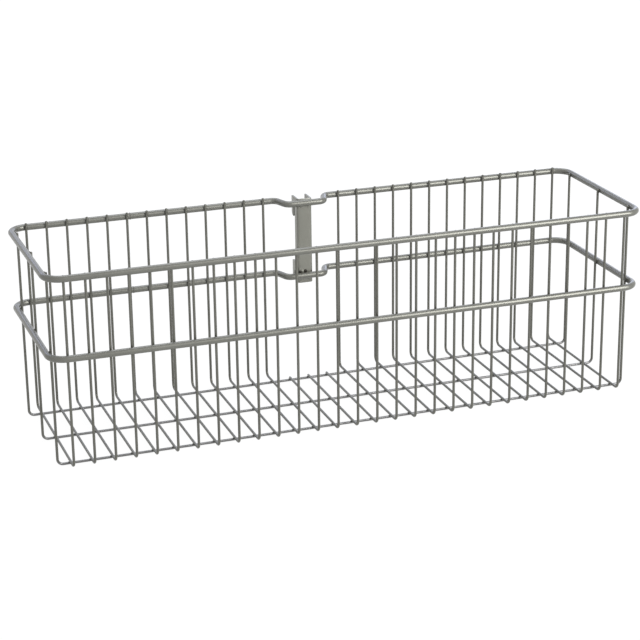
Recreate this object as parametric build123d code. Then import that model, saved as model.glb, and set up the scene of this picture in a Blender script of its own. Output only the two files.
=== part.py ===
from build123d import *
import os

# Wire locker basket: a welded wire basket that hooks into a slotted wall rail.
# Millimetres, +Z up, +X along the basket, +Y towards the wall.
# The origin is the middle of the footprint, on the surface that the basket stands on.

# Wire stock
wire_diameter = 1.9  # cross wires and long wires
rim_diameter = 4.8  # both rim rings
weld_depth = 0.2  # how far welded pieces sink into each other
wire_end_round = 0.6  # rounding of the thin wires' cut ends

# Cross wires: down the front wall, across the floor and up the back wall
cross_wire_count = 29
cross_wire_pitch = 15.0
cross_wire_bend = 4.0  # bend radius at the wire's axis
wall_spacing = 123.0  # front legs to back legs, axis to axis
front_top_drop = 0.8  # front wire tops below the top of the rim
back_top_rise = 1.5  # back wire tops above the top of the rim
short_wire_count = 3  # cross wires below the bracket, which have no back leg
short_wire_overhang = 1.2  # how far they run past the back long wire's axis

# Long wires: down one end wall, along under the floor and up the other end wall
long_wire_count = 3
long_wire_bend = 4.0  # bend radius at the wire's axis
long_wire_inset = 12.4  # outer long wires to the wall legs beside them, axis to axis
end_leg_gap = 9.0  # last cross wire to the end legs, axis to axis
end_top_drop = 1.2  # end leg tops below the top of the rim

# Rim rings, by the height of their axes
top_rim_height = 141.0
middle_rim_height = 83.8
rim_corner_bend = 12.0  # bend radius at the rim's axis
butt_weld_place = -132.0  # along the back run
butt_weld_height = 0.25  # how far the bead stands proud of the rim
butt_weld_bead = 0.7  # radius of the bead's section

# Jog of both rims around the rail
jog_depth = 14.4  # back run to front run, axis to axis
jog_front_width = 29.0  # between the corners of the run in front of the bracket
jog_back_width = 39.0  # between the corners at the back run
jog_bend = 5.5  # bend radius at the rim's axis

# Wall bracket: a folded channel with two hooks on each flange
sheet_thickness = 1.5
bracket_width = 11.8
flange_depth = 6.4  # front of the web to the flange edges that rest on the rail
fold_radius = 2.0  # outside of the folds
bracket_rise = 2.7  # top of the channel above the top rim's axis
bracket_drop = 4.4  # bottom of the channel below the middle rim's axis, or lower to hold the lower hooks

# Hooks
hook_pitch = 50.8  # two slots of a rail with a slot every 25.4
hook_gap = 2.8  # room for the rail's face between flange and leg
hook_leg_depth = 4.2
hook_neck_height = 7.5
hook_leg_drop = 8.0  # leg below the neck
hook_heel_round = 3.4  # back lower corner
hook_toe_round = 0.6  # front lower corner
hook_nose_round = 0.5  # back upper corner

# Sizes that follow from the ones above
wire_radius = wire_diameter / 2
rim_radius = rim_diameter / 2
wire_to_rim = wire_radius + rim_radius - weld_depth
wire_to_wire = wire_diameter - weld_depth

leg_y = wall_spacing / 2
rim_y = leg_y + wire_to_rim
outer_long_y = leg_y - long_wire_inset
short_end_y = outer_long_y + short_wire_overhang
jog_y = rim_y - jog_depth
web_y = jog_y + rim_radius - weld_depth
flange_edge_y = web_y + flange_depth

last_wire_x = (cross_wire_count - 1) / 2 * cross_wire_pitch
end_leg_x = last_wire_x + end_leg_gap
rim_x = end_leg_x + wire_to_rim
flange_x = (bracket_width - sheet_thickness) / 2

long_wire_z = wire_radius
cross_wire_z = long_wire_z + wire_to_wire
rim_top_z = top_rim_height + rim_radius
front_top_z = rim_top_z - front_top_drop
back_top_z = rim_top_z + back_top_rise
end_top_z = rim_top_z - end_top_drop
bracket_top_z = top_rim_height + bracket_rise
lower_neck_z = bracket_top_z - hook_pitch - hook_neck_height
bracket_bottom_z = min(middle_rim_height - bracket_drop, lower_neck_z)

os.makedirs("parts", exist_ok=True)


def save(shape, name):
    """Write one piece of the basket under its own name."""
    shape.label = name
    export_step(shape, "parts/" + name + ".step")


def bent_wire(points, bend):
    """A thin wire along straight runs joined by bends, with rounded cut ends."""
    path = FilletPolyline(*points, radius=bend)
    section = Plane(origin=path @ 0, z_dir=path % 0) * Circle(wire_radius)
    wire = sweep(section, path=path)
    cut_ends = wire.faces().filter_by(GeomType.PLANE)
    return fillet(cut_ends.edges(), wire_end_round)


def cross_wire(x, full):
    """A wire across the basket; a short one ends just past the back long wire."""
    front_top = Vector(x, -leg_y, front_top_z)
    front_foot = Vector(x, -leg_y, cross_wire_z)
    back_foot = Vector(x, leg_y, cross_wire_z)
    back_top = Vector(x, leg_y, back_top_z)
    short_end = Vector(x, short_end_y, cross_wire_z)
    if full:
        return bent_wire([front_top, front_foot, back_foot, back_top], cross_wire_bend)
    return bent_wire([front_top, front_foot, short_end], cross_wire_bend)


def long_wire(y):
    """A wire along the basket, under the cross wires and up both end walls."""
    left_top = Vector(-end_leg_x, y, end_top_z)
    left_foot = Vector(-end_leg_x, y, long_wire_z)
    right_foot = Vector(end_leg_x, y, long_wire_z)
    right_top = Vector(end_leg_x, y, end_top_z)
    return bent_wire([left_top, left_foot, right_foot, right_top], long_wire_bend)


def rim_ring(height):
    """A closed rim with four round corners, a jog around the rail and a butt weld at the back."""
    start = (butt_weld_place, rim_y)
    left_corners = [(-rim_x, rim_y), (-rim_x, -rim_y)]
    right_corners = [(rim_x, -rim_y), (rim_x, rim_y)]
    jog_right = [(jog_back_width / 2, rim_y), (jog_front_width / 2, jog_y)]
    jog_left = [(-jog_front_width / 2, jog_y), (-jog_back_width / 2, rim_y)]
    corners = [start] + left_corners + right_corners + jog_right + jog_left
    outer_bends = [rim_corner_bend] * len(left_corners + right_corners)
    jog_bends = [jog_bend] * len(jog_right + jog_left)
    points = [Vector(x, y, height) for x, y in corners]
    path = FilletPolyline(*points, radius=[0] + outer_bends + jog_bends, close=True)
    section = Plane(origin=path @ 0, z_dir=path % 0) * Circle(rim_radius)
    ring = sweep(section, path=path)
    bead_ring = Torus(rim_radius + butt_weld_height - butt_weld_bead, butt_weld_bead)
    weld_plane = Plane(origin=points[0], z_dir=(1, 0, 0))
    return ring + weld_plane * bead_ring


def channel():
    """The folded channel: a web facing the basket and a flange on either side of the rail's slots."""
    height = bracket_top_z - bracket_bottom_z
    centre = Pos(0, web_y + flange_depth / 2, bracket_bottom_z + height / 2)
    outside = centre * Box(bracket_width, flange_depth, height)
    front_edges = outside.edges().filter_by(Axis.Z).group_by(Axis.Y)[0]
    outside = fillet(front_edges, fold_radius)
    hollow = centre * Pos(0, sheet_thickness, 0) * Box(bracket_width - 2 * sheet_thickness, flange_depth, height)
    inner_edges = hollow.edges().filter_by(Axis.Z).group_by(Axis.Y)[0]
    hollow = fillet(inner_edges, fold_radius - sheet_thickness)
    return outside - hollow


def hook(x, top_z):
    """A hook in the plane of a flange: a neck through the slot and a leg hanging behind the rail's face."""
    neck_z = top_z - hook_neck_height
    foot_z = neck_z - hook_leg_drop
    root_y = flange_edge_y - sheet_thickness
    leg_front_y = flange_edge_y + hook_gap
    leg_back_y = leg_front_y + hook_leg_depth
    root_top = Vector(x, root_y, top_z)
    nose = Vector(x, leg_back_y, top_z)
    heel = Vector(x, leg_back_y, foot_z)
    toe = Vector(x, leg_front_y, foot_z)
    throat = Vector(x, leg_front_y, neck_z)
    root_bottom = Vector(x, root_y, neck_z)
    rounds = [0, hook_nose_round, hook_heel_round, hook_toe_round, hook_toe_round, 0]
    outline = FilletPolyline(root_top, nose, heel, toe, throat, root_bottom, radius=rounds, close=True)
    plate = Face(Wire(outline.edges()))
    return extrude(plate, sheet_thickness / 2, dir=(1, 0, 0), both=True)


def wall_bracket():
    """The channel with an upper and a lower hook on each flange."""
    bracket = channel()
    for top_z in (bracket_top_z, bracket_top_z - hook_pitch):
        for x in (-flange_x, flange_x):
            bracket += hook(x, top_z)
    return bracket


def is_full(index):
    """Every cross wire has a back leg but the ones in the middle, below the bracket."""
    middle_index = (cross_wire_count - 1) / 2
    return abs(index - middle_index) > short_wire_count / 2


for index in range(cross_wire_count):
    wire = cross_wire(index * cross_wire_pitch - last_wire_x, is_full(index))
    save(wire, f"cross_wire_{index + 1:02d}")

long_wire_step = 2 * outer_long_y / (long_wire_count - 1)
for index in range(long_wire_count):
    save(long_wire(index * long_wire_step - outer_long_y), f"long_wire_{index + 1}")

save(rim_ring(top_rim_height), "top_rim")
save(rim_ring(middle_rim_height), "middle_rim")
save(wall_bracket(), "wall_bracket")
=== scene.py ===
"""Wire locker basket: its dressed pieces, the studio and the camera.

Metres, in the CAD model's frame: +X along the basket, +Y towards the wall, +Z up.
"""

import sys
import logging
import math
from collections.abc import Callable
from dataclasses import dataclass, field
from enum import Enum

import bmesh
import bpy
from mathutils import Matrix, Vector


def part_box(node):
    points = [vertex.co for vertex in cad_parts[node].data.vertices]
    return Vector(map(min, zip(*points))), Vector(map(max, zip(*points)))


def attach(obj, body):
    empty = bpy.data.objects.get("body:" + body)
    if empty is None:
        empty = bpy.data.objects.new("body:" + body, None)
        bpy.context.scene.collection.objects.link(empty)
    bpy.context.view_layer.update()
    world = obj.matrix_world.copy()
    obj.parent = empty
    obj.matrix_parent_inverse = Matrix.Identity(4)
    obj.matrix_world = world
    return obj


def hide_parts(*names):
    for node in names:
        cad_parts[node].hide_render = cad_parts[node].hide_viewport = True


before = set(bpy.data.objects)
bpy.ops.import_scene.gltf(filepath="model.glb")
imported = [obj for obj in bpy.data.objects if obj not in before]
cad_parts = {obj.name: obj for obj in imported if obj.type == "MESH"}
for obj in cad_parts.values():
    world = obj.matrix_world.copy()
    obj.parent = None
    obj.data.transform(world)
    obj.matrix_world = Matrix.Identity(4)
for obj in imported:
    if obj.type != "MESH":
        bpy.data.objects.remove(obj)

log = logging.getLogger("basket")
MM = 0.001
UP = Vector((0, 0, 1))
TO_WALL = Vector((0, 1, 0))
ALONG = Vector((1, 0, 0))


class Slot(Enum):
    """The material slots of the record."""

    WIRE = "wire_paint"
    RIM = "rim_paint"
    BRACKET = "bracket_paint"


class PaintFilm:
    """The node group that every finish shares.

    It gives the paint its slow drift of tone and its orange peel. It darkens it at the welds, for burnt
    weld metal and as painted shade where wires cross, and paints it lighter and fully metallic where the
    piece's mesh marks it, as painted light on the long wires' floor runs.
    """

    WELD_MASK = "weld"
    PAINTED_LIGHT_MASK = "painted_light_mask"
    DRIFT_DETAIL = 3.0
    DRIFT_LOW = 0.3
    DRIFT_HIGH = 0.7
    PEEL_DETAIL = 2.0

    def __init__(self) -> None:
        """Builds the group's sockets and nodes."""
        self.tree = bpy.data.node_groups.new("paint_film", "ShaderNodeTree")
        self.sockets()
        nodes, links = self.tree.nodes, self.tree.links
        given = nodes.new("NodeGroupInput")
        result = nodes.new("NodeGroupOutput")
        place = nodes.new("ShaderNodeTexCoord").outputs["Object"]

        drift = self.noise(place, given.outputs["Drift scale"], self.DRIFT_DETAIL)
        spread = nodes.new("ShaderNodeMapRange")
        spread.inputs["From Min"].default_value = self.DRIFT_LOW
        spread.inputs["From Max"].default_value = self.DRIFT_HIGH
        links.new(drift, spread.inputs["Value"])
        tone = self.blend(spread.outputs["Result"], given.outputs["Shade"], given.outputs["Color"])
        # Painted light: the lighter colour where the mesh marks a floor run.
        painted_lit = self.blend(given.outputs["Painted light"], tone, given.outputs["Painted light color"])
        # Painted dark at the welds: burnt weld metal, and painted shade where wires cross.
        color = self.blend(given.outputs["Weld"], painted_lit, given.outputs["Scorch and shade"])
        links.new(color, result.inputs["Color"])

        swing = self.calculate("MULTIPLY", drift, given.outputs["Roughness spread"])
        satin = self.calculate("ADD", swing, given.outputs["Roughness"])
        dulled = self.calculate("MULTIPLY", given.outputs["Weld"], given.outputs["Weld roughness"])
        links.new(self.calculate("ADD", satin, dulled), result.inputs["Roughness"])

        # Where the mesh marks a floor run, the paint turns fully metallic.
        painted_light_metallic = self.calculate("MULTIPLY", given.outputs["Painted light"], given.outputs["Painted light metallic"])
        links.new(self.calculate("ADD", painted_light_metallic, given.outputs["Flake"]), result.inputs["Metallic"])

        peel = self.noise(place, given.outputs["Peel scale"], self.PEEL_DETAIL)
        links.new(peel, result.inputs["Height"])

    def sockets(self) -> None:
        """Names the group's inputs and outputs."""
        face = self.tree.interface
        for name, kind, value in (
            ("Color", "NodeSocketColor", (0.3, 0.3, 0.28, 1.0)),
            ("Shade", "NodeSocketColor", (0.25, 0.25, 0.23, 1.0)),
            ("Scorch and shade", "NodeSocketColor", (0.12, 0.11, 0.1, 1.0)),
            ("Painted light color", "NodeSocketColor", (0.35, 0.35, 0.34, 1.0)),
            ("Weld", "NodeSocketFloat", 0.0),
            ("Painted light", "NodeSocketFloat", 0.0),
            ("Flake", "NodeSocketFloat", 0.5),
            ("Painted light metallic", "NodeSocketFloat", 0.5),
            ("Roughness", "NodeSocketFloat", 0.3),
            ("Roughness spread", "NodeSocketFloat", 0.08),
            ("Weld roughness", "NodeSocketFloat", 0.15),
            ("Drift scale", "NodeSocketFloat", 30.0),
            ("Peel scale", "NodeSocketFloat", 900.0),
        ):
            face.new_socket(name=name, in_out="INPUT", socket_type=kind).default_value = value
        for name, kind in (
            ("Color", "NodeSocketColor"),
            ("Roughness", "NodeSocketFloat"),
            ("Metallic", "NodeSocketFloat"),
            ("Height", "NodeSocketFloat"),
        ):
            face.new_socket(name=name, in_out="OUTPUT", socket_type=kind)

    def noise(
        self, place: bpy.types.NodeSocket, scale: bpy.types.NodeSocket, detail: float
    ) -> bpy.types.NodeSocket:
        """Adds a noise pattern.

        Args:
            place: the coordinates that it reads.
            scale: its scale.
            detail: how many octaves it has.

        Returns:
            The pattern's value.
        """
        noise = self.tree.nodes.new("ShaderNodeTexNoise")
        noise.inputs["Detail"].default_value = detail
        self.tree.links.new(place, noise.inputs["Vector"])
        self.tree.links.new(scale, noise.inputs["Scale"])
        return noise.outputs["Fac"]

    def blend(
        self, share: bpy.types.NodeSocket, first: bpy.types.NodeSocket, second: bpy.types.NodeSocket
    ) -> bpy.types.NodeSocket:
        """Mixes two colours.

        Args:
            share: how much of the second colour there is.
            first: the first colour.
            second: the second colour.

        Returns:
            The mixed colour.
        """
        mix = self.tree.nodes.new("ShaderNodeMix")
        mix.data_type = "RGBA"
        # The node has sockets of one name for each data type. These are the ones for colours.
        share_in, first_in, second_in = mix.inputs[0], mix.inputs[6], mix.inputs[7]
        self.tree.links.new(share, share_in)
        self.tree.links.new(first, first_in)
        self.tree.links.new(second, second_in)
        return mix.outputs[2]

    def calculate(
        self, operation: str, first: bpy.types.NodeSocket, second: bpy.types.NodeSocket
    ) -> bpy.types.NodeSocket:
        """Adds or multiplies two values.

        Args:
            operation: the Math node's operation.
            first: the first value.
            second: the second value.

        Returns:
            The result.
        """
        math_node = self.tree.nodes.new("ShaderNodeMath")
        math_node.operation = operation
        self.tree.links.new(first, math_node.inputs[0])
        self.tree.links.new(second, math_node.inputs[1])
        return math_node.outputs["Value"]


@dataclass(frozen=True)
class SilverPaint:
    """Silver-grey paint, baked on: metal flake under a satin film.

    With a painted light colour, the paint is painted lighter and made fully metallic where the piece's
    mesh says so: painted light.
    """

    name: str
    color: tuple[float, float, float]
    shade: tuple[float, float, float]
    # The dark colour of the welds: burnt weld metal, and painted shade at the wire crossings.
    scorch_and_shade: tuple[float, float, float]
    # Painted light: the lighter colour of marked floor runs.
    painted_light_color: tuple[float, float, float] | None = None
    metallic: float = 0.55
    roughness: float = 0.28
    roughness_spread: float = 0.08
    peel_strength: float = 0.05
    peel_height: float = 0.02 * MM

    def build(self, film: PaintFilm) -> bpy.types.Material:
        """Makes the material.

        Args:
            film: the paint film that it is sprayed with.

        Returns:
            The new material.
        """
        material = bpy.data.materials.new(self.name)
        material.use_nodes = True
        nodes, links = material.node_tree.nodes, material.node_tree.links
        shader = nodes["Principled BSDF"]
        shader.inputs["Metallic"].default_value = self.metallic
        group = nodes.new("ShaderNodeGroup")
        group.node_tree = film.tree
        group.inputs["Color"].default_value = (*self.color, 1.0)
        group.inputs["Shade"].default_value = (*self.shade, 1.0)
        group.inputs["Scorch and shade"].default_value = (*self.scorch_and_shade, 1.0)
        group.inputs["Roughness"].default_value = self.roughness
        group.inputs["Roughness spread"].default_value = self.roughness_spread
        self.read_mask(material.node_tree, PaintFilm.WELD_MASK, group.inputs["Weld"])
        # Painted light: a lighter, fully metallic paint where the mesh marks it.
        if self.painted_light_color:
            group.inputs["Painted light color"].default_value = (*self.painted_light_color, 1.0)
            group.inputs["Flake"].default_value = self.metallic
            group.inputs["Painted light metallic"].default_value = 1.0 - self.metallic
            self.read_mask(material.node_tree, PaintFilm.PAINTED_LIGHT_MASK, group.inputs["Painted light"])
            links.new(group.outputs["Metallic"], shader.inputs["Metallic"])
        links.new(group.outputs["Color"], shader.inputs["Base Color"])
        links.new(group.outputs["Roughness"], shader.inputs["Roughness"])
        bump = nodes.new("ShaderNodeBump")
        bump.inputs["Strength"].default_value = self.peel_strength
        bump.inputs["Distance"].default_value = self.peel_height
        links.new(group.outputs["Height"], bump.inputs["Height"])
        links.new(bump.outputs["Normal"], shader.inputs["Normal"])
        return material

    @staticmethod
    def read_mask(tree: bpy.types.NodeTree, mask: str, socket: bpy.types.NodeSocket) -> None:
        """Feeds a mask of the mesh into the paint film.

        Args:
            tree: the material's node tree.
            mask: the mask's name.
            socket: the film's input.
        """
        reader = tree.nodes.new("ShaderNodeAttribute")
        reader.attribute_name = mask
        tree.links.new(reader.outputs["Fac"], socket)


class Bench:
    """The few bench moves that every piece shares."""

    NEAR = 0.01 * MM  # a point this near to a place is picked as being there
    DOUBLE = 0.004 * MM  # points nearer to each other than this are merged
    ROUND = 0.5  # the bevel profile of a round

    @staticmethod
    def clear() -> None:
        """Deselects every object."""
        bpy.ops.object.select_all(action="DESELECT")

    @staticmethod
    def take(piece: bpy.types.Object) -> None:
        """Selects one object alone and makes it the active one.

        Args:
            piece: the object.
        """
        Bench.clear()
        piece.select_set(True)
        bpy.context.view_layer.objects.active = piece

    @staticmethod
    def settle(piece: bpy.types.Object, name: str) -> bpy.types.Object:
        """Applies the place of a new object to its mesh and names it.

        Args:
            piece: the new object.
            name: its name.

        Returns:
            The same object, at the origin.
        """
        Bench.take(piece)
        bpy.ops.object.transform_apply(location=True, rotation=True, scale=True)
        piece.name = name
        piece.data.name = name
        return piece

    @staticmethod
    def apply(piece: bpy.types.Object, kind: str, **values: object) -> None:
        """Adds a modifier, sets its values and applies it.

        Args:
            piece: the object.
            kind: the modifier's type.
            values: its settings by name.
        """
        Bench.take(piece)
        modifier = piece.modifiers.new(kind.lower(), kind)
        for key, value in values.items():
            setattr(modifier, key, value)
        bpy.ops.object.modifier_apply(modifier=modifier.name)

    @staticmethod
    def pick_edges(piece: bpy.types.Object, wanted: Callable[[Vector, Vector], bool]) -> None:
        """Selects the edges, in edit mode, whose two ends pass a test.

        Args:
            piece: the object in edit mode.
            wanted: the test of an edge's two end points.
        """
        bpy.ops.mesh.select_mode(type="EDGE")
        bpy.ops.mesh.select_all(action="DESELECT")
        mesh = bmesh.from_edit_mesh(piece.data)
        for edge in mesh.edges:
            if wanted(edge.verts[0].co, edge.verts[1].co):
                edge.select = True
        bmesh.update_edit_mesh(piece.data)

    @staticmethod
    def outward(piece: bpy.types.Object) -> None:
        """Merges doubles and turns every face outwards, then leaves edit mode.

        Args:
            piece: the object in edit mode.
        """
        Bench.take_all_in_edit_mode()
        bpy.ops.mesh.remove_doubles(threshold=Bench.DOUBLE)
        bpy.ops.mesh.normals_make_consistent(inside=False)
        bpy.ops.object.mode_set(mode="OBJECT")
        piece.data.update()

    @staticmethod
    def take_all_in_edit_mode() -> None:
        """Selects the whole mesh that is being edited."""
        bpy.ops.mesh.select_all(action="SELECT")

    @staticmethod
    def mark(piece: bpy.types.Object, mask: str, share: Callable[[Vector], float]) -> None:
        """Writes a mask of the paint film into a piece's mesh.

        Args:
            piece: the piece.
            mask: the mask's name.
            share: the mask's value, from 0 to 1, at a point of the piece.
        """
        layer = piece.data.attributes.new(mask, "FLOAT", "POINT")
        layer.data.foreach_set("value", [share(vertex.co) for vertex in piece.data.vertices])

    @staticmethod
    def copy(piece: bpy.types.Object, name: str, step: Vector) -> bpy.types.Object:
        """Copies a piece with a mesh of its own and moves the mesh.

        Args:
            piece: the piece that is copied.
            name: the copy's name.
            step: how far the copy's mesh moves.

        Returns:
            The copy, at the origin.
        """
        twin = piece.copy()
        twin.data = piece.data.copy()
        twin.name = name
        twin.data.name = name
        bpy.context.collection.objects.link(twin)
        twin.data.transform(Matrix.Translation(step))
        return twin

    @staticmethod
    def join(pieces: list[bpy.types.Object], name: str) -> bpy.types.Object:
        """Joins several objects into the first one.

        Args:
            pieces: the objects, the main one first.
            name: the joined piece's name.

        Returns:
            The joined piece.
        """
        Bench.clear()
        for piece in pieces:
            piece.select_set(True)
        bpy.context.view_layer.objects.active = pieces[0]
        bpy.ops.object.join()
        pieces[0].name = name
        return pieces[0]

    @staticmethod
    def smooth(piece: bpy.types.Object, degrees: float = 40.0) -> None:
        """Shades a piece smooth, with sharp edges above an angle."""
        Bench.take(piece)
        bpy.ops.object.shade_smooth_by_angle(angle=math.radians(degrees))


@dataclass(frozen=True)
class BentWire:
    """Round wire bent along straight runs, as a bender makes it: a run, a bend, a run."""

    radius: float
    sides: int
    arc_steps: int
    end_round: float = 0.0
    end_steps: int = 4

    def form(
        self, name: str, points: list[Vector], bends: list[float], closed: bool = False
    ) -> bpy.types.Object:
        """Extrudes a ring along the runs and spins it around the bends.

        Args:
            name: the piece's name.
            points: the corners of the wire's axis, with both ends. A closed wire starts on a straight run.
            bends: the bend radius at each inner corner.
            closed: True if the wire's end meets its start.

        Returns:
            The wire, at the origin.
        """
        corners = points + [points[0]] if closed else points
        heading = (corners[1] - corners[0]).normalized()
        Bench.clear()
        bpy.ops.mesh.primitive_circle_add(
            vertices=self.sides,
            radius=self.radius,
            fill_type="NOTHING",
            location=corners[0],
            rotation=heading.to_track_quat("Z", "Y").to_euler(),
        )
        wire = Bench.settle(bpy.context.object, name)
        bpy.ops.object.mode_set(mode="EDIT")
        Bench.take_all_in_edit_mode()
        place = corners[0]
        for corner, after, bend in zip(corners[1:-1], corners[2:], bends):
            ahead = (corner - place).normalized()
            turned = (after - corner).normalized()
            turn = ahead.angle(turned)
            setback = bend * math.tan(turn / 2)
            self.run(corner - ahead * setback - place)
            axis = ahead.cross(turned).normalized()
            centre = corner - ahead * setback + axis.cross(ahead) * bend
            bpy.ops.mesh.spin(
                steps=self.arc_steps, angle=-turn, center=centre, axis=axis, use_auto_merge=False
            )
            place = corner + turned * setback
        self.run(corners[-1] - place)
        if not closed:
            self.close_ends()
        Bench.outward(wire)
        return wire

    @staticmethod
    def run(step: Vector) -> None:
        """Extrudes the selected ring by one straight run."""
        bpy.ops.mesh.extrude_edges_move(TRANSFORM_OT_translate={"value": step})

    def close_ends(self) -> None:
        """Caps both ends and rounds them over."""
        Bench.take_all_in_edit_mode()
        bpy.ops.mesh.fill_holes(sides=0)
        bpy.ops.mesh.select_face_by_sides(number=self.sides, type="EQUAL", extend=False)
        bpy.ops.mesh.region_to_loop()
        bpy.ops.mesh.bevel(offset=self.end_round, segments=self.end_steps, profile=Bench.ROUND)


@dataclass(frozen=True)
class Weld:
    """A flattened lump of weld metal, such as the collar squeezed out where two wires cross.

    Its darkness, from 0 to 1, stands for burnt weld metal, and on the collars at the wire crossings for
    painted shade as well.
    """

    across: float
    along: float
    depth: float
    scorch_and_shade: float
    segments: int = 12
    rings: int = 6

    def form(self, place: Vector, run: Vector, out: Vector) -> bpy.types.Object:
        """Shapes one lump.

        Args:
            place: its middle, where the two welded pieces touch.
            run: the direction that it lies along.
            out: the direction from one welded piece to the other.

        Returns:
            The lump, with its scorch mask.
        """
        Bench.clear()
        bpy.ops.mesh.primitive_uv_sphere_add(segments=self.segments, ring_count=self.rings, radius=1.0)
        lump = Bench.settle(bpy.context.object, "weld")
        side = run.cross(out)
        shape = Matrix((side * self.across, run * self.along, out * self.depth)).transposed().to_4x4()
        lump.data.transform(Matrix.Translation(place) @ shape)
        Bench.mark(lump, PaintFilm.WELD_MASK, lambda point: self.scorch_and_shade)
        return lump


@dataclass(frozen=True)
class ThinStock:
    """The thin wire that the cross wires and long wires are bent from, and its two kinds of weld."""

    radius: float = 0.95 * MM
    bend: float = 4.0 * MM
    end_round: float = 0.6 * MM
    sides: int = 20
    arc_steps: int = 9
    # The collars are painted dark: burnt weld metal, and painted shade where a wire meets a rim.
    rim_weld: Weld = Weld(1.45 * MM, 1.8 * MM, 0.7 * MM, scorch_and_shade=0.6)
    # The collars are painted dark: burnt weld metal, and painted shade where a cross wire lies on a long
    # wire.
    floor_weld: Weld = Weld(1.7 * MM, 1.2 * MM, 0.5 * MM, scorch_and_shade=0.6)

    def bent(self, name: str, points: list[Vector]) -> bpy.types.Object:
        """Bends one wire through its corners.

        Args:
            name: the wire's name.
            points: the corners of its axis, with both ends.

        Returns:
            The wire.
        """
        wire = BentWire(self.radius, self.sides, self.arc_steps, self.end_round)
        return wire.form(name, points, [self.bend] * (len(points) - 2))


@dataclass
class RimRing:
    """A heavy wire ring with a jog around the rail and a butt weld on its back run."""

    name: str
    height: float
    half_length: float
    half_depth: float
    radius: float = 2.4 * MM
    sides: int = 36
    arc_steps: int = 12
    corner_bend: float = 12.0 * MM
    jog_depth: float = 14.4 * MM
    jog_front: float = 29.0 * MM
    jog_back: float = 39.0 * MM
    jog_bend: float = 5.5 * MM
    weld_place: float = -132.0 * MM
    weld_proud: float = 0.25 * MM
    weld_bead: float = 0.7 * MM
    weld_scorch: float = 0.2

    @classmethod
    def from_node(cls, node: str) -> "RimRing":
        """Takes the ring's axis sizes from its CAD node.

        Args:
            node: the node's name.

        Returns:
            The ring, not yet built.
        """
        low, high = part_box(node)
        return cls(node, (low.z + high.z) / 2, high.x - cls.radius, -low.y - cls.radius)

    def build(self) -> bpy.types.Object:
        """Bends the ring and adds the weld's bead.

        Returns:
            The ring.
        """
        x, y, z = self.half_length, self.half_depth, self.height
        front = y - self.jog_depth
        corners = [
            (self.weld_place, y),
            (-x, y),
            (-x, -y),
            (x, -y),
            (x, y),
            (self.jog_back / 2, y),
            (self.jog_front / 2, front),
            (-self.jog_front / 2, front),
            (-self.jog_back / 2, y),
        ]
        bends = [self.corner_bend] * 4 + [self.jog_bend] * 4
        points = [Vector((a, b, z)) for a, b in corners]
        wire = BentWire(self.radius, self.sides, self.arc_steps)
        ring = wire.form(self.name + "_ring", points, bends, closed=True)
        Bench.clear()
        bpy.ops.mesh.primitive_torus_add(
            major_radius=self.radius + self.weld_proud - self.weld_bead,
            minor_radius=self.weld_bead,
            major_segments=self.sides,
            minor_segments=self.arc_steps,
            location=points[0],
            rotation=(0, math.pi / 2, 0),
        )
        bead = Bench.settle(bpy.context.object, self.name + "_bead")
        Bench.mark(bead, PaintFilm.WELD_MASK, lambda point: self.weld_scorch)
        return Bench.join([ring, bead], self.name + "_ring")


@dataclass
class CrossWires:
    """The thin wires across the basket: U wires, and J wires below the bracket."""

    rim_heights: list[float]
    long_places: list[float]
    count: int = 29
    short_node: str = "cross_wire_15"
    stock: ThinStock = ThinStock()

    def form(self, node: str, full: bool) -> bpy.types.Object:
        """Bends one wire to its node's size and adds its weld collars.

        Args:
            node: the CAD node that it stands for.
            full: True for a U wire, False for a J wire.

        Returns:
            The wire.
        """
        low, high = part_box(node)
        radius = self.stock.radius
        x, floor, front = (low.x + high.x) / 2, low.z + radius, low.y + radius
        back = -front
        # All front legs end at one height, which only a J wire's box gives.
        front_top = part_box(self.short_node)[1].z
        points = [Vector((x, front, front_top)), Vector((x, front, floor))]
        if full:
            points += [Vector((x, back, floor)), Vector((x, back, high.z))]
        else:
            points += [Vector((x, high.y, floor))]
        wire = self.stock.bent(node + "_bent", points)
        welds = []
        for height in self.rim_heights:
            welds.append(self.stock.rim_weld.form(Vector((x, front - radius, height)), UP, -TO_WALL))
            if full:
                welds.append(self.stock.rim_weld.form(Vector((x, back + radius, height)), UP, TO_WALL))
        for y in self.long_places:
            welds.append(self.stock.floor_weld.form(Vector((x, y, floor - radius)), TO_WALL, -UP))
        return Bench.join([wire] + welds, node + "_bent")

    def build(self) -> dict[str, bpy.types.Object]:
        """Bends one wire of each kind and copies it to its other places.

        Returns:
            Each node's wire, by the node's name.
        """
        wires: dict[str, bpy.types.Object] = {}
        first: dict[bool, tuple[bpy.types.Object, float]] = {}
        for index in range(1, self.count + 1):
            node = f"cross_wire_{index:02d}"
            low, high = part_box(node)
            # A U wire reaches as far to the back as to the front.
            full = high.y > -low.y - MM
            if full in first:
                pattern, start = first[full]
                wires[node] = Bench.copy(pattern, node + "_bent", ALONG * (low.x - start))
            else:
                wires[node] = self.form(node, full)
                first[full] = (wires[node], low.x)
        return wires


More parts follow.
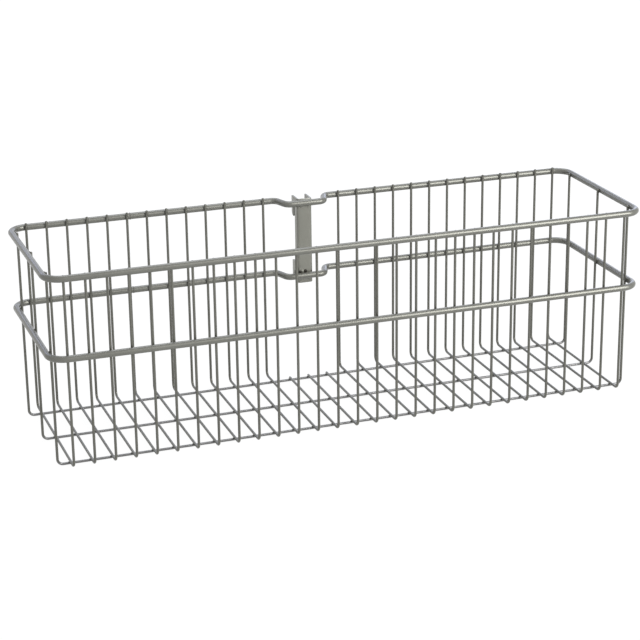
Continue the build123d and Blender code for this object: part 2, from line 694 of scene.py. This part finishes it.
@dataclass
class LongWires:
    """The thin wires along the basket, under the floor and up both end walls."""

    rim_heights: list[float]
    count: int = 3
    stock: ThinStock = ThinStock()

    @property
    def nodes(self) -> list[str]:
        """The names of the long wires' CAD nodes, front to back."""
        return [f"long_wire_{index}" for index in range(1, self.count + 1)]

    def places(self) -> list[float]:
        """The Y of each long wire's axis."""
        return [(low.y + high.y) / 2 for low, high in map(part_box, self.nodes)]

    def form(self, node: str) -> bpy.types.Object:
        """Bends one wire to its node's size, marks its floor run to be painted lighter as painted light
        and adds its weld collars.

        Args:
            node: the CAD node that it stands for.

        Returns:
            The wire.
        """
        low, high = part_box(node)
        radius = self.stock.radius
        y = (low.y + high.y) / 2
        left, right, floor = low.x + radius, high.x - radius, low.z + radius
        corners = [(left, high.z), (left, floor), (right, floor), (right, high.z)]
        wire = self.stock.bent(node + "_bent", [Vector((x, y, z)) for x, z in corners])
        # Painted light: the floor run is painted lighter and fully metallic, fading out up the bends.
        painted_lit, plain_above = low.z + 2 * radius, floor + self.stock.bend

        def painted_light_share(point: Vector) -> float:
            """How much painted light the wire gets: all of the floor run, and nothing above the bends."""
            return min(1, max(0, (plain_above - point.z) / (plain_above - painted_lit)))

        Bench.mark(wire, PaintFilm.PAINTED_LIGHT_MASK, painted_light_share)
        welds = []
        for height in self.rim_heights:
            welds.append(self.stock.rim_weld.form(Vector((left - radius, y, height)), UP, -ALONG))
            welds.append(self.stock.rim_weld.form(Vector((right + radius, y, height)), UP, ALONG))
        return Bench.join([wire] + welds, node + "_bent")


@dataclass(frozen=True)
class WebSpot:
    """A lump on the bracket's web, above the middle rim. Some are weld metal; the thin ones are painted
    almost black.
    """

    metal: Weld
    x: float
    above_rim: float


@dataclass
class WallBracket:
    """The folded sheet channel with its hooks and the weld metal that holds it to the rims."""

    rim_heights: list[float]
    sheet: float = 1.5 * MM
    width: float = 11.8 * MM
    depth: float = 6.4 * MM
    fold: float = 2.0 * MM
    fold_steps: int = 6
    hook_pitch: float = 50.8 * MM
    hook_gap: float = 2.8 * MM
    leg_depth: float = 4.2 * MM
    neck: float = 7.5 * MM
    drop: float = 8.0 * MM
    heel_round: float = 3.4 * MM
    heel_steps: int = 6
    toe_round: float = 0.6 * MM
    nose_round: float = 0.5 * MM
    small_steps: int = 3
    edge: float = 0.2 * MM
    edge_steps: int = 2
    edge_angle: float = math.radians(50)
    bead: Weld = Weld(1.3 * MM, 1.9 * MM, 0.8 * MM, scorch_and_shade=0.0)
    bead_places: tuple[float, ...] = (-2.6 * MM, 2.6 * MM)
    bead_drop: float = 2.2 * MM
    # The last three spots are thin lumps painted almost black.
    web_spots: tuple[WebSpot, ...] = (
        WebSpot(Weld(1.3 * MM, 1.9 * MM, 0.8 * MM, scorch_and_shade=0.0), -2.5 * MM, 2.8 * MM),
        WebSpot(Weld(1.4 * MM, 1.6 * MM, 0.4 * MM, scorch_and_shade=1.0), -0.2 * MM, 2.7 * MM),
        WebSpot(Weld(0.9 * MM, 1.2 * MM, 0.4 * MM, scorch_and_shade=1.0), -4.4 * MM, 2.5 * MM),
        WebSpot(Weld(0.6 * MM, 0.5 * MM, 0.3 * MM, scorch_and_shade=1.0), 4.6 * MM, 2.6 * MM),
    )

    def build(self) -> bpy.types.Object:
        """Folds the channel, draws out the hooks and gives the sheet its thickness.

        Returns:
            The bracket.
        """
        low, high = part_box("wall_bracket")
        half = self.width / 2
        web, rear = low.y, low.y + self.depth
        Bench.clear()
        bpy.ops.mesh.primitive_cube_add(
            size=1.0,
            location=(0, (web + rear) / 2, (low.z + high.z) / 2),
            scale=(self.width, self.depth, high.z - low.z),
        )
        bracket = Bench.settle(bpy.context.object, "wall_bracket_folded")
        bpy.ops.object.mode_set(mode="EDIT")
        self.drop_faces(bracket, rear, low.z, high.z)
        near = Bench.NEAR

        def on_fold(first: Vector, second: Vector) -> bool:
            """True for an upright edge of the web."""
            on_web = abs(first.y - web) < near and abs(second.y - web) < near
            return on_web and abs(first.z - second.z) > near

        Bench.pick_edges(bracket, on_fold)
        bpy.ops.mesh.bevel(
            offset=self.fold, segments=self.fold_steps, profile=Bench.ROUND, affect="EDGES"
        )
        tops = [high.z, high.z - self.hook_pitch]
        for level in (tops[0] - self.neck, tops[1], tops[1] - self.neck):
            Bench.take_all_in_edit_mode()
            bpy.ops.mesh.bisect(plane_co=(0, rear, level), plane_no=UP)
        for top in tops:
            for side in (-half, half):
                self.draw_hook(bracket, side, rear, top)
        Bench.outward(bracket)
        self.face_basket(bracket)
        Bench.apply(bracket, "SOLIDIFY", thickness=self.sheet, offset=-1.0, use_even_offset=True)
        Bench.apply(
            bracket,
            "BEVEL",
            width=self.edge,
            segments=self.edge_steps,
            limit_method="ANGLE",
            angle_limit=self.edge_angle,
        )
        return Bench.join([bracket] + self.weld_metal(web), "wall_bracket_folded")

    @staticmethod
    def drop_faces(bracket: bpy.types.Object, rear: float, bottom: float, top: float) -> None:
        """Deletes the rear, top and bottom faces of the block.

        Args:
            bracket: the block, in edit mode.
            rear: the Y of its rear face.
            bottom: the Z of its bottom face.
            top: the Z of its top face.
        """
        mesh = bmesh.from_edit_mesh(bracket.data)
        near = Bench.NEAR
        for face in mesh.faces:
            middle = face.calc_center_median()
            gaps = (middle.y - rear, middle.z - bottom, middle.z - top)
            face.select = any(abs(gap) < near for gap in gaps)
        bmesh.update_edit_mesh(bracket.data)
        bpy.ops.mesh.delete(type="FACE")

    def draw_hook(self, bracket: bpy.types.Object, side: float, rear: float, top: float) -> None:
        """Extrudes one hook out of a flange's rear edge: neck, leg, and the leg's drop.

        Args:
            bracket: the folded sheet, in edit mode.
            side: the X of the flange.
            rear: the Y of the flange's edge.
            top: the Z of the hook's top.
        """
        near = Bench.NEAR
        throat = top - self.neck
        leg_front, leg_back = rear + self.hook_gap, rear + self.hook_gap + self.leg_depth

        def on_root(point: Vector) -> bool:
            """True on the flange's edge, over the height of the neck."""
            on_edge = abs(point.x - side) < near and abs(point.y - rear) < near
            return on_edge and throat - near < point.z < top + near

        def on_foot(point: Vector) -> bool:
            """True on the lower edge of the leg."""
            inside = leg_front - near < point.y < leg_back + near
            return abs(point.x - side) < near and inside and abs(point.z - throat) < near

        Bench.pick_edges(bracket, lambda a, b: on_root(a) and on_root(b))
        bpy.ops.mesh.extrude_edges_move(TRANSFORM_OT_translate={"value": (0, self.hook_gap, 0)})
        bpy.ops.mesh.extrude_edges_move(TRANSFORM_OT_translate={"value": (0, self.leg_depth, 0)})
        Bench.pick_edges(bracket, lambda a, b: on_foot(a) and on_foot(b))
        bpy.ops.mesh.extrude_edges_move(TRANSFORM_OT_translate={"value": (0, 0, -self.drop)})
        foot = throat - self.drop
        self.round_corner(bracket, Vector((side, leg_back, foot)), self.heel_round, self.heel_steps)
        self.round_corner(bracket, Vector((side, leg_front, foot)), self.toe_round, self.small_steps)
        self.round_corner(bracket, Vector((side, leg_back, top)), self.nose_round, self.small_steps)

    @staticmethod
    def round_corner(bracket: bpy.types.Object, corner: Vector, radius: float, steps: int) -> None:
        """Rounds one corner of a hook's outline.

        Args:
            bracket: the folded sheet, in edit mode.
            corner: where the corner is.
            radius: the radius of the rounding.
            steps: how many edges the rounding has.
        """
        bpy.ops.mesh.select_mode(type="VERT")
        bpy.ops.mesh.select_all(action="DESELECT")
        mesh = bmesh.from_edit_mesh(bracket.data)
        for vertex in mesh.verts:
            if (vertex.co - corner).length < Bench.NEAR:
                vertex.select = True
        bmesh.update_edit_mesh(bracket.data)
        bpy.ops.mesh.bevel(offset=radius, segments=steps, profile=Bench.ROUND, affect="VERTICES")

    @staticmethod
    def face_basket(bracket: bpy.types.Object) -> None:
        """Turns the sheet over if its web doesn't face the basket.

        Args:
            bracket: the folded sheet.
        """
        web = min(bracket.data.polygons, key=lambda face: face.center.y)
        if web.normal.y > 0:
            bracket.data.flip_normals()

    def weld_metal(self, web: float) -> list[bpy.types.Object]:
        """Shapes the weld metal between the web and the two rims.

        Args:
            web: the Y of the web's front face.

        Returns:
            The lumps and spots.
        """
        middle_rim = min(self.rim_heights)
        metal = []
        for spot in self.web_spots:
            place = Vector((spot.x, web, middle_rim + spot.above_rim))
            metal.append(spot.metal.form(place, UP, -TO_WALL))
        for height in self.rim_heights:
            for x in self.bead_places:
                metal.append(self.bead.form(Vector((x, web, height - self.bead_drop)), UP, -TO_WALL))
        return metal


@dataclass(frozen=True)
class Softbox:
    """A soft lamp, turned to the basket."""

    name: str
    place: tuple[float, float, float]
    width: float
    height: float
    power: float
    tint: tuple[float, float, float]
    aim: tuple[float, float, float] = (0.0, 0.0, 0.07)

    def hang(self) -> None:
        """Adds the lamp to the studio."""
        Bench.clear()
        bpy.ops.object.light_add(type="AREA", location=self.place)
        lamp = bpy.context.object
        lamp.name = self.name + "_lamp"
        lamp.data.shape = "RECTANGLE"
        lamp.data.energy = self.power
        lamp.data.size = self.width
        lamp.data.size_y = self.height
        lamp.data.color = self.tint
        sight = Vector(self.aim) - Vector(self.place)
        lamp.rotation_euler = sight.to_track_quat("-Z", "Y").to_euler()


@dataclass(frozen=True)
class PhotoCamera:
    """The camera at the photograph's place.

    The eye is in metres and the angles are in radians. The lens and the centre of the view are in
    pixels of the photograph, which is as wide as it is high.
    """

    eye: tuple[float, float, float] = (-0.465582, -1.329459, 0.556989)
    azimuth: float = -0.34213
    elevation: float = 0.35163
    roll: float = -0.0099
    focal_pixels: float = 2007.6
    centre_pixels: tuple[float, float] = (339.2, 350.0)
    frame_pixels: float = 640.0
    sensor_width: float = 36.0

    def stand(self) -> None:
        """Adds the camera and makes it the scene's own."""
        az, el, roll = self.azimuth, self.elevation, self.roll
        back = Vector((math.sin(az) * math.cos(el), -math.cos(az) * math.cos(el), math.sin(el)))
        level = Vector((math.cos(az), math.sin(az), 0))
        rise = back.cross(level)
        right = level * math.cos(roll) + rise * math.sin(roll)
        up = rise * math.cos(roll) - level * math.sin(roll)
        data = bpy.data.cameras.new("camera")
        camera = bpy.data.objects.new("camera", data)
        bpy.context.collection.objects.link(camera)
        data.sensor_width = self.sensor_width
        data.lens = self.focal_pixels * self.sensor_width / self.frame_pixels
        data.shift_x = 0.5 - self.centre_pixels[0] / self.frame_pixels
        data.shift_y = self.centre_pixels[1] / self.frame_pixels - 0.5
        turn = Matrix((right, up, back)).transposed().to_4x4()
        camera.matrix_world = Matrix.Translation(self.eye) @ turn
        bpy.context.scene.camera = camera


@dataclass
class Studio:
    """Floor, white surroundings, lamps and camera."""

    lamps: list[Softbox] = field(
        default_factory=lambda: [
            Softbox("key", (0.95, -1.3, 0.76), 0.85, 1.25, 23.0, (1.0, 0.995, 0.97)),
            Softbox("top", (0.2, 0.6, 1.5), 1.0, 1.0, 7.0, (0.86, 0.89, 1.0)),
            Softbox("rear", (0.5, 1.8, 0.65), 2.2, 0.7, 2.6, (0.56, 0.65, 1.0)),
            Softbox("side", (1.2, 1.5, 0.6), 0.9, 0.8, 3.0, (0.66, 0.73, 1.0)),
            Softbox("high", (-0.55, 1.45, 1.0), 0.5, 0.5, 1.6, (0.52, 0.58, 1.0)),
        ]
    )
    ambient: float = 0.3
    floor_size: float = 12.0
    floor_drop: float = 0.2 * MM
    floor_white: float = 0.9
    floor_glow: float = 1.08
    shadow_share: float = 0.13
    shadow_reach: float = 0.8

    def build(self) -> None:
        """Sets up the whole studio."""
        self.floor()
        self.world()
        for lamp in self.lamps:
            lamp.hang()
        PhotoCamera().stand()
        bpy.context.scene.view_settings.view_transform = "Standard"

    @staticmethod
    def seen_directly(tree: bpy.types.NodeTree) -> bpy.types.NodeSocket:
        """Adds the nodes that pick out the rays that show the background.

        Args:
            tree: the node tree of the floor or the world.

        Returns:
            1 for camera, glossy and transmission rays, 0 for the others.
        """
        path = tree.nodes.new("ShaderNodeLightPath")
        found = path.outputs["Is Camera Ray"]
        for name in ("Is Glossy Ray", "Is Transmission Ray"):
            either = tree.nodes.new("ShaderNodeMath")
            either.operation = "MAXIMUM"
            tree.links.new(found, either.inputs[0])
            tree.links.new(path.outputs[name], either.inputs[1])
            found = either.outputs["Value"]
        return found

    def floor(self) -> None:
        """Lays the white floor, which keeps a faint shadow near the basket."""
        Bench.clear()
        bpy.ops.mesh.primitive_plane_add(size=self.floor_size, location=(0, 0, -self.floor_drop))
        floor = bpy.context.object
        floor.name = "studio_floor"
        material = bpy.data.materials.new("pale_floor")
        material.use_nodes = True
        tree = material.node_tree
        nodes, links = tree.nodes, tree.links
        nodes.remove(nodes["Principled BSDF"])
        matt = nodes.new("ShaderNodeBsdfDiffuse")
        white = self.floor_white
        matt.inputs["Color"].default_value = (white, white, white, 1.0)
        glow = nodes.new("ShaderNodeEmission")
        glow.inputs["Strength"].default_value = self.floor_glow
        place = nodes.new("ShaderNodeTexCoord")
        distance = nodes.new("ShaderNodeVectorMath")
        distance.operation = "LENGTH"
        links.new(place.outputs["Object"], distance.inputs[0])
        fade = nodes.new("ShaderNodeMapRange")
        fade.interpolation_type = "SMOOTHSTEP"
        fade.inputs["From Min"].default_value = self.shadow_reach / 2
        fade.inputs["From Max"].default_value = self.shadow_reach
        fade.inputs["To Min"].default_value = 1.0 - self.shadow_share
        links.new(distance.outputs["Value"], fade.inputs["Value"])
        share = nodes.new("ShaderNodeMath")
        share.operation = "MULTIPLY"
        links.new(fade.outputs["Result"], share.inputs[0])
        links.new(self.seen_directly(tree), share.inputs[1])
        mix = nodes.new("ShaderNodeMixShader")
        links.new(share.outputs["Value"], mix.inputs["Fac"])
        links.new(matt.outputs["BSDF"], mix.inputs[1])
        links.new(glow.outputs["Emission"], mix.inputs[2])
        links.new(mix.outputs["Shader"], nodes["Material Output"].inputs["Surface"])
        floor.data.materials.append(material)

    def world(self) -> None:
        """Surrounds the basket with plain white, which lights it softly."""
        world = bpy.data.worlds.new("studio")
        bpy.context.scene.world = world
        world.use_nodes = True
        tree = world.node_tree
        back = tree.nodes["Background"]
        back.inputs["Color"].default_value = (1.0, 1.0, 1.0, 1.0)
        level = tree.nodes.new("ShaderNodeMapRange")
        level.inputs["To Min"].default_value = self.ambient
        tree.links.new(self.seen_directly(tree), level.inputs["Value"])
        tree.links.new(level.outputs["Result"], back.inputs["Strength"])


class Basket:
    """Builds every sub-assembly, dresses it and hands it to the frame."""

    def __init__(self) -> None:
        """Mixes the paints."""
        film = PaintFilm()
        # One silver paint in three copies: the wire copy is painted darker and warmer as painted shade,
        # the bracket copy lighter as painted light, and the rim copy lies between.
        finishes = {
            Slot.WIRE: SilverPaint(
                "wire_silver_painted_shade",
                color=(0.163, 0.163, 0.141),
                shade=(0.137, 0.136, 0.118),
                # The welds' dark colour: burnt weld metal, and painted shade at the wire crossings.
                scorch_and_shade=(0.05, 0.048, 0.045),
                # Painted light: the lighter colour of the long wires' floor runs.
                painted_light_color=(0.175, 0.175, 0.175),
            ),
            Slot.RIM: SilverPaint(
                "rim_silver",
                color=(0.203, 0.204, 0.183),
                shade=(0.181, 0.181, 0.161),
                scorch_and_shade=(0.09, 0.085, 0.08),
            ),
            Slot.BRACKET: SilverPaint(
                "bracket_silver_painted_light",
                color=(0.28, 0.28, 0.246),
                shade=(0.258, 0.258, 0.226),
                # The colour of the web's dark spots, painted almost black.
                scorch_and_shade=(0.03, 0.027, 0.022),
            ),
        }
        self.paints = {slot: finish.build(film) for slot, finish in finishes.items()}

    def dress(self, piece: bpy.types.Object, node: str, slot: Slot) -> None:
        """Paints a finished piece and puts it in its node's place.

        Args:
            piece: the finished piece.
            node: the CAD node that it stands for.
            slot: its material slot.
        """
        Bench.smooth(piece)
        piece.data.materials.clear()
        piece.data.materials.append(self.paints[slot])
        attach(piece, "root")
        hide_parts(node)
        log.info("%s: %d faces", piece.name, len(piece.data.polygons))

    def build(self) -> None:
        """Builds the rims, the wires and the bracket in order."""
        rims = [RimRing.from_node("top_rim"), RimRing.from_node("middle_rim")]
        heights = [rim.height for rim in rims]
        for rim in rims:
            self.dress(rim.build(), rim.name, Slot.RIM)
        long_wires = LongWires(heights)
        for node in long_wires.nodes:
            self.dress(long_wires.form(node), node, Slot.WIRE)
        for node, wire in CrossWires(heights, long_wires.places()).build().items():
            self.dress(wire, node, Slot.WIRE)
        self.dress(WallBracket(heights).build(), "wall_bracket", Slot.BRACKET)


def main() -> None:
    """Builds the basket and the studio."""
    logging.basicConfig(level=logging.INFO, format="%(message)s", stream=sys.stdout)
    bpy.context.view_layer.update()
    Basket().build()
    Studio().build()


if __name__ == "__main__":
    main()
